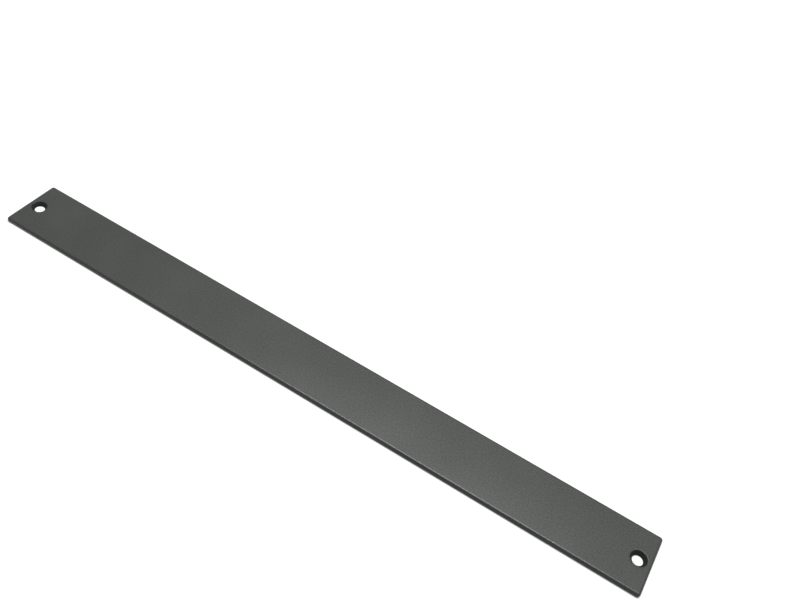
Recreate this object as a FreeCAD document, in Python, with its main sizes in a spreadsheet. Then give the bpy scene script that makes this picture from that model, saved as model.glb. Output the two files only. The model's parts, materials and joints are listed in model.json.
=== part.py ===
import FreeCAD, Part
import os
import Sketcher

# A 1U blanking panel for a 19-inch equipment rack: one flat plate with a countersunk
# screw hole at mid-height near each end.
# Frame: X along the panel's length, Y up its height, Z out of its front face.
# The origin is the middle of the rear face, which is the face that meets the rack.

DIMENSIONS_MM = {
    "panel_length": 482.6,           # 19 inches over the ends
    "panel_height": 43.7,            # one rack unit of 44.45, less the gap between neighbours
    "panel_thickness": 3.0,
    "corner_radius": 2.0,            # the four corners, seen from the front
    "front_edge_radius": 1.5,        # rounding around the front face
    "rear_edge_radius": 0.2,         # burr broken around the rear face
    "hole_end_distance": 8.75,       # from each end to the hole's centre: holes 465.1 apart
    "hole_diameter": 7.0,            # clears an M6 rack screw
    "hole_rear_edge_radius": 0.15,   # burr broken at the rear of each hole
    "countersink_diameter": 11.0,    # across its mouth, before the mouth is rounded
    "countersink_angle": 90.0,       # degrees, over the whole cone
    "countersink_edge_radius": 0.2,  # rounding of the mouth
}


def fill_dimension_sheet(document):
    sheet = document.addObject("Spreadsheet::Sheet", "Dimensions")
    for row, (name, value) in enumerate(DIMENSIONS_MM.items(), start=1):
        sheet.set(f"A{row}", name)
        sheet.set(f"B{row}", str(value))
        sheet.setAlias(f"B{row}", name)
    document.recompute()


def origin_plane(body, role):
    return next(plane for plane in body.Origin.OriginFeatures if plane.Role == role)


def add_sketch(body, name):
    sketch = body.newObject("Sketcher::SketchObject", name)
    sketch.AttachmentSupport = [(origin_plane(body, "XY_Plane"), "")]
    sketch.MapMode = "FlatFace"
    return sketch


def add_plate_outline(body):
    # A rectangle centred on the origin; the sheet drives its length and height.
    outline = add_sketch(body, "PlateOutline")
    half_length = DIMENSIONS_MM["panel_length"] / 2
    half_height = DIMENSIONS_MM["panel_height"] / 2
    corners = [
        FreeCAD.Vector(-half_length, -half_height, 0),
        FreeCAD.Vector(half_length, -half_height, 0),
        FreeCAD.Vector(half_length, half_height, 0),
        FreeCAD.Vector(-half_length, half_height, 0),
    ]
    for start, end in zip(corners, corners[1:] + corners[:1]):
        outline.addGeometry(Part.LineSegment(start, end), False)
    bottom, right, top, left = range(4)
    for side, following in ((bottom, right), (right, top), (top, left), (left, bottom)):
        outline.addConstraint(Sketcher.Constraint("Coincident", side, 2, following, 1))
    for side in (bottom, top):
        outline.addConstraint(Sketcher.Constraint("Horizontal", side))
    for side in (left, right):
        outline.addConstraint(Sketcher.Constraint("Vertical", side))
    # The ends of one diagonal lie opposite each other across the origin.
    outline.addConstraint(Sketcher.Constraint("Symmetric", bottom, 1, top, 1, -1, 1))
    length = outline.addConstraint(
        Sketcher.Constraint("DistanceX", bottom, 1, bottom, 2, 2 * half_length))
    height = outline.addConstraint(
        Sketcher.Constraint("DistanceY", right, 1, right, 2, 2 * half_height))
    outline.setExpression(f"Constraints[{length}]", "Dimensions.panel_length")
    outline.setExpression(f"Constraints[{height}]", "Dimensions.panel_height")
    return outline


def add_plate(document, body):
    plate = body.newObject("PartDesign::Pad", "Plate")
    plate.Profile = add_plate_outline(body)
    plate.setExpression("Length", "Dimensions.panel_thickness")
    document.recompute()
    return plate


def add_fillet(document, body, base, name, wanted, radius_name):
    edges = enumerate(base.Shape.Edges, start=1)
    fillet = body.newObject("PartDesign::Fillet", name)
    fillet.Base = (base, [f"Edge{number}" for number, edge in edges if wanted(edge)])
    fillet.setExpression("Radius", f"Dimensions.{radius_name}")
    document.recompute()
    return fillet


def is_upright(edge):
    return edge.BoundBox.ZLength > 0.5 * DIMENSIONS_MM["panel_thickness"]


def lies_at(level):
    # Picks the edges that lie wholly in the plane at this height.
    def wanted(edge):
        box = edge.BoundBox
        return abs(box.ZMin - level) < 1e-4 and abs(box.ZMax - level) < 1e-4
    return wanted


def is_round_rim(level, diameter):
    # Picks the full circles of this diameter in the plane at this height.
    lies_in_plane = lies_at(level)

    def wanted(edge):
        if not lies_in_plane(edge) or edge.Curve.TypeId != "Part::GeomCircle":
            return False
        return edge.isClosed() and abs(2 * edge.Curve.Radius - diameter) < 1e-3
    return wanted


def add_hole_centre(body):
    # The right-hand hole's circle, drawn at the level of the front face.
    centre = add_sketch(body, "HoleCentre")
    centre.setExpression(".AttachmentOffset.Base.z", "Dimensions.panel_thickness")
    from_middle = DIMENSIONS_MM["panel_length"] / 2 - DIMENSIONS_MM["hole_end_distance"]
    diameter = DIMENSIONS_MM["hole_diameter"]
    out_of_face = FreeCAD.Vector(0, 0, 1)
    circle = centre.addGeometry(
        Part.Circle(FreeCAD.Vector(from_middle, 0, 0), out_of_face, diameter / 2), False)
    across = centre.addConstraint(Sketcher.Constraint("Diameter", circle, diameter))
    along = centre.addConstraint(
        Sketcher.Constraint("DistanceX", -1, 1, circle, 3, from_middle))
    centre.addConstraint(Sketcher.Constraint("PointOnObject", circle, 3, -1))
    centre.setExpression(f"Constraints[{across}]", "Dimensions.hole_diameter")
    centre.setExpression(
        f"Constraints[{along}]", "Dimensions.panel_length / 2 - Dimensions.hole_end_distance")
    return centre


def add_screw_hole(document, body):
    hole = body.newObject("PartDesign::Hole", "ScrewHole")
    hole.Profile = add_hole_centre(body)
    document.recompute()
    hole.ThreadType = 0
    hole.DepthType = "ThroughAll"
    hole.HoleCutType = "Countersink"
    hole.HoleCutCustomValues = True
    hole.setExpression("Diameter", "Dimensions.hole_diameter")
    hole.setExpression("HoleCutDiameter", "Dimensions.countersink_diameter")
    hole.setExpression("HoleCutCountersinkAngle", "Dimensions.countersink_angle")
    document.recompute()
    return hole


def mirror_screw_hole(document, body, hole):
    pair = body.newObject("PartDesign::Mirrored", "ScrewHolePair")
    pair.Originals = [hole]
    pair.MirrorPlane = (origin_plane(body, "YZ_Plane"), [""])
    body.Tip = pair
    document.recompute()
    return pair


def check_both_holes_cut(plate, hole, pair):
    first_cut = plate.Shape.Volume - hole.Shape.Volume
    both_cuts = plate.Shape.Volume - pair.Shape.Volume
    if first_cut <= 0 or abs(both_cuts - 2 * first_cut) > 1e-3:
        raise RuntimeError("the two screw holes don't both cut the plate")


def build_blanking_panel(document):
    rear = 0.0
    front = DIMENSIONS_MM["panel_thickness"]
    mouth = is_round_rim(front, DIMENSIONS_MM["countersink_diameter"])
    rear_rim = is_round_rim(rear, DIMENSIONS_MM["hole_diameter"])
    body = document.addObject("PartDesign::Body", "BlankingPanel")
    body.Label = "blanking_panel"

    step = add_plate(document, body)
    step = add_fillet(document, body, step, "Corners", is_upright, "corner_radius")
    step = add_fillet(document, body, step, "FrontEdge", lies_at(front), "front_edge_radius")
    plate = add_fillet(document, body, step, "RearEdge", lies_at(rear), "rear_edge_radius")

    hole = add_screw_hole(document, body)
    pair = mirror_screw_hole(document, body, hole)
    check_both_holes_cut(plate, hole, pair)

    step = add_fillet(document, body, pair, "Mouths", mouth, "countersink_edge_radius")
    body.Tip = add_fillet(document, body, step, "RearRims", rear_rim, "hole_rear_edge_radius")
    document.recompute()
    return body


def check_document(document, bodies):
    for item in document.Objects:
        if "Invalid" in item.State or "Error" in item.State:
            raise RuntimeError(f"{item.Name} failed: {item.State}")
    for body in bodies:
        if body.Shape.isNull() or not body.Shape.isValid() or len(body.Shape.Solids) != 1:
            raise RuntimeError(f"{body.Label} is not one valid solid")


def write_parts(bodies):
    os.makedirs("parts", exist_ok=True)
    for body in bodies:
        body.Shape.exportStep(f"parts/{body.Label}.step")
        box = body.Shape.optimalBoundingBox(False, False)
        print(f"{body.Label}: {box.XLength:.2f} x {box.YLength:.2f} x {box.ZLength:.2f} mm, "
              f"{body.Shape.Volume:.1f} mm3")


document = FreeCAD.newDocument("RackBlankingPanel")
fill_dimension_sheet(document)
bodies = [build_blanking_panel(document)]
check_document(document, bodies)
write_parts(bodies)
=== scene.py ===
import bpy, bmesh, json
from math import atan2, hypot, pi, radians, tan
from mathutils import Matrix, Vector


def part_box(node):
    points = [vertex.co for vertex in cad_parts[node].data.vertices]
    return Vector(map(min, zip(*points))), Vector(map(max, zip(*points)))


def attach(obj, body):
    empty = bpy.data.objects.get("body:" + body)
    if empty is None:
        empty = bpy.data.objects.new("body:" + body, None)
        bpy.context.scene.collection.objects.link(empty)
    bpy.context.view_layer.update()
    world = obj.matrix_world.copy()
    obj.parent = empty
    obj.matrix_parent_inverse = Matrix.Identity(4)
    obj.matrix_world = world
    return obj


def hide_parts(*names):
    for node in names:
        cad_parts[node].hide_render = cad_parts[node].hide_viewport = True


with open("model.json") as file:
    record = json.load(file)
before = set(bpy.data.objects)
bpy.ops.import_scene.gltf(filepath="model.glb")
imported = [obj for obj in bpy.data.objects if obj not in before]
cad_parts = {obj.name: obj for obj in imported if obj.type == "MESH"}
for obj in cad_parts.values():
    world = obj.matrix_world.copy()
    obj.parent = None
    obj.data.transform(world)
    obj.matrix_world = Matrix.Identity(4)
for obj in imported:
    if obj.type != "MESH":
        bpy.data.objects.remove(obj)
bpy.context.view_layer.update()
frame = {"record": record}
mm = 0.001
low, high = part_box("blanking_panel")
middle = (low + high) / 2
mounts = {m["name"]: m for m in frame["record"]["mounts"]}
holeX = mounts["rack_screws"]["dims"]["spacing_x_mm"] * mm / 2
print("frame loaded", [round(s / mm, 2) for s in high - low])


# the panel: a plate with rounded corners and edges, and a countersunk hole near each end
panel = {
    "corner": 2.0 * mm,       # rounding of the four corners, seen from the front
    "frontEdge": 1.5 * mm,    # rounding around the front face
    "rearEdge": 0.2 * mm,     # broken edge around the rear face
    "mouth": 5.5 * mm,        # radius of the countersink's mouth, before it is rounded
    "mouthEdge": 0.2 * mm,
    "throatEdge": 0.1 * mm,   # the coating rounds the step from cone to bore
    "rearHoleEdge": 0.15 * mm,
    "border": 0.35 * mm,      # flat ring next to each rounding, keeps the shading crisp
    "ring": 1.0 * mm,         # flat ring around each hole, front and rear
    "endZone": 28 * mm,       # from each end, the stretch that is filled around its hole
    "strips": 10,             # the plain middle of the plate is cut into this many
    "holeSteps": 96,
    "cornerSteps": 10,
    "frontSteps": 12,
    "edgeSteps": 4,
    "throatSteps": 3,
    "coneTurn": 45,           # degrees from the face to the cone, and from the cone to the bore
    "rearTurn": 90,           # degrees from the bore to the rear face
}
tolerance = 1e-6              # metres within which two places count as the same


def nearly(a, b):
    return abs(a - b) < tolerance


def isFlat(face):
    # lies square to Z, as the front and rear faces do
    return abs(face.normal.z) > 0.999


def liesAt(z, *verts):
    return all(nearly(v.co.z, z) for v in verts)


def bevelEdges(bm, edges, offset, steps):
    bmesh.ops.bevel(bm, geom=edges, offset=offset, offset_type="OFFSET", affect="EDGES",
                    segments=steps, profile=0.5, material=-1, clamp_overlap=False)


def makePlate():
    bm = bmesh.new()
    bmesh.ops.create_cube(bm, size=1)
    bmesh.ops.scale(bm, vec=high - low, verts=bm.verts)
    bmesh.ops.translate(bm, vec=middle, verts=bm.verts)
    inner = high.x - panel["endZone"]
    cuts = [inner * (2 * i / panel["strips"] - 1) for i in range(panel["strips"] + 1)]
    for x in cuts:
        bmesh.ops.bisect_plane(bm, geom=bm.verts[:] + bm.edges[:] + bm.faces[:],
                               plane_co=(x, 0, 0), plane_no=(1, 0, 0))
    upright = [e for e in bm.edges if nearly(abs(e.verts[0].co.x), high.x)
               and nearly(e.verts[0].co.x, e.verts[1].co.x)
               and nearly(e.verts[0].co.y, e.verts[1].co.y)]
    bevelEdges(bm, upright, panel["corner"], panel["cornerSteps"])
    for z, radius, steps in ((high.z, panel["frontEdge"], panel["frontSteps"]),
                             (low.z, panel["rearEdge"], panel["edgeSteps"])):
        outline = [e for e in bm.edges if liesAt(z, *e.verts)
                   and not all(isFlat(f) for f in e.link_faces)]
        bevelEdges(bm, outline, radius, steps)
        flat = [f for f in bm.faces if isFlat(f) and liesAt(z, *f.verts)]
        bmesh.ops.inset_region(bm, faces=flat, thickness=panel["border"], use_even_offset=True)
    return bm, inner


def addHole(bm, x):
    # the wall of one screw hole, spun from its profile, with a flat ring front and rear
    bore = mounts["rack_screws"]["dims"]["hole_r_mm"] * mm
    mouth = panel["mouth"]
    throat = high.z - (mouth - bore)       # a 90 degree cone
    profile = [(mouth + panel["ring"], high.z), (mouth, high.z), (bore, throat), (bore, low.z),
               (bore + panel["ring"], low.z)]
    old = set(bm.verts)
    points = [bm.verts.new((x + r, 0, z)) for r, z in profile]
    edges = [bm.edges.new(pair) for pair in zip(points, points[1:])]
    bmesh.ops.spin(bm, geom=points + edges, cent=(x, 0, 0), axis=(0, 0, 1), angle=2 * pi,
                   steps=panel["holeSteps"], use_merge=True)
    for radius, z, edge, steps, turn in (
            (mouth, high.z, panel["mouthEdge"], panel["edgeSteps"], panel["coneTurn"]),
            (bore, throat, panel["throatEdge"], panel["throatSteps"], panel["coneTurn"]),
            (bore, low.z, panel["rearHoleEdge"], panel["edgeSteps"], panel["rearTurn"])):
        loop = [e for e in bm.edges if e.verts[0] not in old and liesAt(z, *e.verts)
                and all(nearly(hypot(v.co.x - x, v.co.y), radius) for v in e.verts)]
        bevelEdges(bm, loop, edge * tan(radians(turn / 2)), steps)


def fillEnd(bm, side, inner, z):
    # opens the large flat patch at one end and fills it again around the hole
    ends = [f for f in bm.faces if isFlat(f) and liesAt(z, *f.verts)
            and side * f.calc_center_median().x > inner]
    patch = max(ends, key=lambda f: f.calc_area())
    bmesh.ops.delete(bm, geom=[patch], context="FACES_ONLY")
    rim = [e for e in bm.edges if e.is_boundary and liesAt(z, *e.verts)
           and all(side * v.co.x > inner - tolerance for v in e.verts)]
    bmesh.ops.triangle_fill(bm, edges=rim, use_beauty=True, normal=(0, 0, 1))


def isHoleWall(face):
    # the cone and the bore, up to the rounded mouth; these take the darker painted-shade coat
    spot = face.calc_center_median()
    reach = panel["mouth"] - panel["mouthEdge"] / 2
    return not isFlat(face) and hypot(abs(spot.x) - holeX, spot.y) < reach


def makePanel():
    bm, inner = makePlate()
    for side in (-1, 1):
        addHole(bm, side * holeX)
        for z in (low.z, high.z):
            fillEnd(bm, side, inner, z)
    bmesh.ops.remove_doubles(bm, verts=bm.verts, dist=tolerance / 10)
    bmesh.ops.recalc_face_normals(bm, faces=bm.faces)
    for face in bm.faces:
        face.smooth = True
        # hole walls get the second material, the coat with painted shade in the holes
        face.material_index = int(isHoleWall(face))
    loose = sum(e.is_boundary or e.is_wire for e in bm.edges)
    print("panel mesh", len(bm.faces), "faces, open edges", loose,
          "volume mm3", round(bm.calc_volume() / mm ** 3, 1))
    mesh = bpy.data.meshes.new("coatedPanel")
    bm.to_mesh(mesh)
    bm.free()
    piece = bpy.data.objects.new("coatedPanel", mesh)
    bpy.context.collection.objects.link(piece)
    return piece


# graphite powder coat: satin, with a fine grain, soft mottling and a few pale specks
coat = {
    "dark": (0.0238, 0.0276, 0.0242, 1),
    "pale": (0.048, 0.0514, 0.048, 1),
    "specular": 0.5,
    "ior": 1.37,
    "smooth": 0.24,          # the roughness runs between these two
    "matt": 0.37,
    "bump": 0.25,
    "speck": (0.17, 0.17, 0.16, 1),
    "speckCell": 16 * mm,
    "speckCore": 0.008,      # as a share of the cell
    "speckRim": 0.016,
}

# painted shade: a darker, less glossy and matt copy of the coat on the walls of the screw holes,
# for the shade in the recess
paintedShadeHoleCoat = {
    "dark": (0.014, 0.0155, 0.0145, 1),
    "pale": (0.024, 0.0255, 0.0245, 1),
    "specular": 0.14,
    "ior": 1.37,
    "smooth": 0.4,
    "matt": 0.55,
    "bump": 0.15,
}

# mottle, cloud and grain: the size of their features, and the noise's detail and roughness
texture = {
    "mottle": (1.0 * mm, 3, 0.6),
    "cloud": (45 * mm, 2, 0.5),
    "grain": (0.45 * mm, 2, 0.5),
    "mottleShare": 0.55,     # of the colour's change; the cloud has the rest
    "low": 0.3,              # the noises are stretched from this span to the whole range
    "high": 0.7,
    "bumpDepth": 0.02 * mm,
}


def addNoise(tree, place, size, detail, rough):
    node = tree.nodes.new("ShaderNodeTexNoise")
    node.inputs["Scale"].default_value = 1 / size
    node.inputs["Detail"].default_value = detail
    node.inputs["Roughness"].default_value = rough
    tree.links.new(place, node.inputs["Vector"])
    return node.outputs["Fac"]


def addSum(tree, a, b, clamp=False):
    node = tree.nodes.new("ShaderNodeMath")
    node.operation = "ADD"
    node.use_clamp = clamp
    tree.links.new(a, node.inputs[0])
    tree.links.new(b, node.inputs[1])
    return node.outputs["Value"]


def feed(tree, value, socket):
    # a number or colour is set on the socket, and another node's output is linked to it
    if isinstance(value, bpy.types.NodeSocket):
        tree.links.new(value, socket)
    else:
        socket.default_value = value


def addRange(tree, value, lowOut, highOut, lowIn=texture["low"], highIn=texture["high"]):
    node = tree.nodes.new("ShaderNodeMapRange")
    for name, amount in (("Value", value), ("From Min", lowIn), ("From Max", highIn),
                         ("To Min", lowOut), ("To Max", highOut)):
        feed(tree, amount, node.inputs[name])
    return node.outputs["Result"]


def addBlend(tree, factor, a, b):
    node = tree.nodes.new("ShaderNodeMix")
    node.data_type = "RGBA"
    factorSocket, colourA, colourB = (s for s in node.inputs if s.enabled)
    feed(tree, factor, factorSocket)
    feed(tree, a, colourA)
    feed(tree, b, colourB)
    return next(s for s in node.outputs if s.enabled)


def coatTexture():
    # the colour, roughness and height that both coats share
    group = bpy.data.node_groups.new("coatTexture", "ShaderNodeTree")
    for name, kind in (("Dark", "Color"), ("Pale", "Color"),
                       ("Smooth", "Float"), ("Matt", "Float")):
        group.interface.new_socket(name, in_out="INPUT", socket_type="NodeSocket" + kind)
    for name, kind in (("Colour", "Color"), ("Roughness", "Float"), ("Height", "Float")):
        group.interface.new_socket(name, in_out="OUTPUT", socket_type="NodeSocket" + kind)
    given = group.nodes.new("NodeGroupInput").outputs
    result = group.nodes.new("NodeGroupOutput").inputs
    place = group.nodes.new("ShaderNodeTexCoord").outputs["Object"]
    mottle = addNoise(group, place, *texture["mottle"])
    cloud = addNoise(group, place, *texture["cloud"])
    grain = addNoise(group, place, *texture["grain"])
    share = texture["mottleShare"]
    tone = addSum(group, addRange(group, mottle, 0, share), addRange(group, cloud, 0, 1 - share),
                  clamp=True)
    group.links.new(addBlend(group, tone, given["Dark"], given["Pale"]), result["Colour"])
    group.links.new(addRange(group, mottle, given["Smooth"], given["Matt"]), result["Roughness"])
    group.links.new(addSum(group, mottle, grain), result["Height"])
    return group


def makeCoat(name, group, finish):
    material = bpy.data.materials.new(name)
    material.use_nodes = True
    tree = material.node_tree
    shader = tree.nodes["Principled BSDF"]
    shader.inputs["Specular IOR Level"].default_value = finish["specular"]
    shader.inputs["IOR"].default_value = finish["ior"]
    surface = tree.nodes.new("ShaderNodeGroup")
    surface.node_tree = group
    for end in ("Dark", "Pale", "Smooth", "Matt"):
        surface.inputs[end].default_value = finish[end.lower()]
    colour = surface.outputs["Colour"]
    if "speck" in finish:
        cells = tree.nodes.new("ShaderNodeTexVoronoi")
        cells.inputs["Scale"].default_value = 1 / finish["speckCell"]
        place = tree.nodes.new("ShaderNodeTexCoord").outputs["Object"]
        tree.links.new(place, cells.inputs["Vector"])
        dot = addRange(tree, cells.outputs["Distance"], 1, 0,
                       finish["speckCore"], finish["speckRim"])
        colour = addBlend(tree, dot, colour, finish["speck"])
    tree.links.new(colour, shader.inputs["Base Color"])
    tree.links.new(surface.outputs["Roughness"], shader.inputs["Roughness"])
    bump = tree.nodes.new("ShaderNodeBump")
    bump.inputs["Strength"].default_value = finish["bump"]
    bump.inputs["Distance"].default_value = texture["bumpDepth"]
    tree.links.new(surface.outputs["Height"], bump.inputs["Height"])
    tree.links.new(bump.outputs["Normal"], shader.inputs["Normal"])
    return material


piece = makePanel()
sharedTexture = coatTexture()
piece.data.materials.append(makeCoat("graphitePowderCoat", sharedTexture, coat))
# the second material paints shade into the cones and bores of the screw holes
piece.data.materials.append(makeCoat("paintedShadeInHoles", sharedTexture, paintedShadeHoleCoat))
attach(piece, "root")
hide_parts("blanking_panel")
print("panel made")


# a plain white floor under the panel, and a soft studio around it
studio = {
    "floorSize": 30.0,       # metres
    "floorGap": 0.02 * mm,   # keeps the floor clear of the panel's rear face
    "floorColour": 0.7,      # the lit part of the floor's white, which keeps the shadow
    "floorGlow": 0.35,       # the part that is the floor's own, near the panel
    "glowNear": 0.3,         # metres out, where it starts to rise, to full white at glowFar
    "glowFar": 1.0,
    "floorBounce": 0.02,     # the floor's colour for light that it would throw back up
    "ambient": 0.1,          # soft light from all around
}


def seenDirectly(tree):
    # 1 for rays that show the background: camera, glossy and transmission rays
    path = tree.nodes.new("ShaderNodeLightPath")
    value = path.outputs["Is Camera Ray"]
    for name in ("Is Glossy Ray", "Is Transmission Ray"):
        either = tree.nodes.new("ShaderNodeMath")
        either.operation = "MAXIMUM"
        tree.links.new(value, either.inputs[0])
        tree.links.new(path.outputs[name], either.inputs[1])
        value = either.outputs["Value"]
    return value


def addDiffuse(tree, grey):
    shade = tree.nodes.new("ShaderNodeBsdfDiffuse")
    shade.inputs["Color"].default_value = (grey, grey, grey, 1)
    return shade.outputs["BSDF"]


def addFloorGlow(tree):
    # the floor's own white, which grows with the distance from the panel
    outwards = tree.nodes.new("ShaderNodeVectorMath")
    outwards.operation = "LENGTH"
    place = tree.nodes.new("ShaderNodeTexCoord").outputs["Object"]
    tree.links.new(place, outwards.inputs[0])
    glow = tree.nodes.new("ShaderNodeEmission")
    strength = addRange(tree, outwards.outputs["Value"], studio["floorGlow"], 1,
                        studio["glowNear"], studio["glowFar"])
    tree.links.new(strength, glow.inputs["Strength"])
    return glow.outputs["Emission"]


def whiteFloor():
    material = bpy.data.materials.new("whiteFloor")
    material.use_nodes = True
    tree = material.node_tree
    tree.nodes.remove(tree.nodes["Principled BSDF"])
    white = tree.nodes.new("ShaderNodeAddShader")
    tree.links.new(addDiffuse(tree, studio["floorColour"]), white.inputs[0])
    tree.links.new(addFloorGlow(tree), white.inputs[1])
    mix = tree.nodes.new("ShaderNodeMixShader")
    tree.links.new(seenDirectly(tree), mix.inputs["Fac"])
    tree.links.new(addDiffuse(tree, studio["floorBounce"]), mix.inputs[1])
    tree.links.new(white.outputs["Shader"], mix.inputs[2])
    tree.links.new(mix.outputs["Shader"], tree.nodes["Material Output"].inputs["Surface"])
    return material


def makeFloor():
    bm = bmesh.new()
    bmesh.ops.create_grid(bm, x_segments=1, y_segments=1, size=studio["floorSize"] / 2)
    bmesh.ops.translate(bm, vec=(0, 0, low.z - studio["floorGap"]), verts=bm.verts)
    mesh = bpy.data.meshes.new("floor")
    bm.to_mesh(mesh)
    bm.free()
    mesh.materials.append(whiteFloor())
    floor = bpy.data.objects.new("floor", mesh)
    bpy.context.collection.objects.link(floor)


def makeWorld():
    # full white behind the panel, and a dimmer light from all around on it
    world = bpy.data.worlds.new("studio")
    bpy.context.scene.world = world
    world.use_nodes = True
    tree = world.node_tree
    background = tree.nodes["Background"].inputs
    background["Color"].default_value = (1, 1, 1, 1)
    strength = addRange(tree, seenDirectly(tree), studio["ambient"], 1, 0, 1)
    tree.links.new(strength, background["Strength"])


# one long softbox high behind the panel: its sheen fades towards the left end, and it
# gleams on the rounded front edge
softbox = {
    "at": (-0.11, 0.6, 2.0),
    "length": 1.27,
    "width": 0.25,
    "power": 51,
}


def makeSoftbox():
    light = bpy.data.lights.new("softbox", "AREA")
    light.shape = "RECTANGLE"
    light.size = softbox["length"]
    light.size_y = softbox["width"]
    light.energy = softbox["power"]
    lamp = bpy.data.objects.new("softbox", light)
    bpy.context.collection.objects.link(lamp)
    lamp.location = softbox["at"]
    lamp.rotation_euler.x = -atan2(softbox["at"][1], softbox["at"][2])


# the camera looks down on the panel from its front right, tilted on its own axis
camera = {
    "aim": (0.01776, 0.08663, 0.003),
    "distance": 0.61596,
    "azimuth": 20.457,
    "elevation": 46.993,
    "roll": 13.515,
    "lens": 39.249,
}


def makeCamera():
    data = bpy.data.cameras.new("camera")
    data.lens = camera["lens"]
    data.clip_start = 0.01
    holder = bpy.data.objects.new("camera", data)
    bpy.context.collection.objects.link(holder)
    holder.matrix_world = (
        Matrix.Translation(camera["aim"])
        @ Matrix.Rotation(radians(camera["azimuth"]), 4, "Z")
        @ Matrix.Rotation(radians(90 - camera["elevation"]), 4, "X")
        @ Matrix.Translation((0, 0, camera["distance"]))
        @ Matrix.Rotation(radians(camera["roll"]), 4, "Z"))
    bpy.context.scene.camera = holder


makeFloor()
makeWorld()
makeSoftbox()
makeCamera()
bpy.context.scene.view_settings.view_transform = "Standard"
print("studio made")
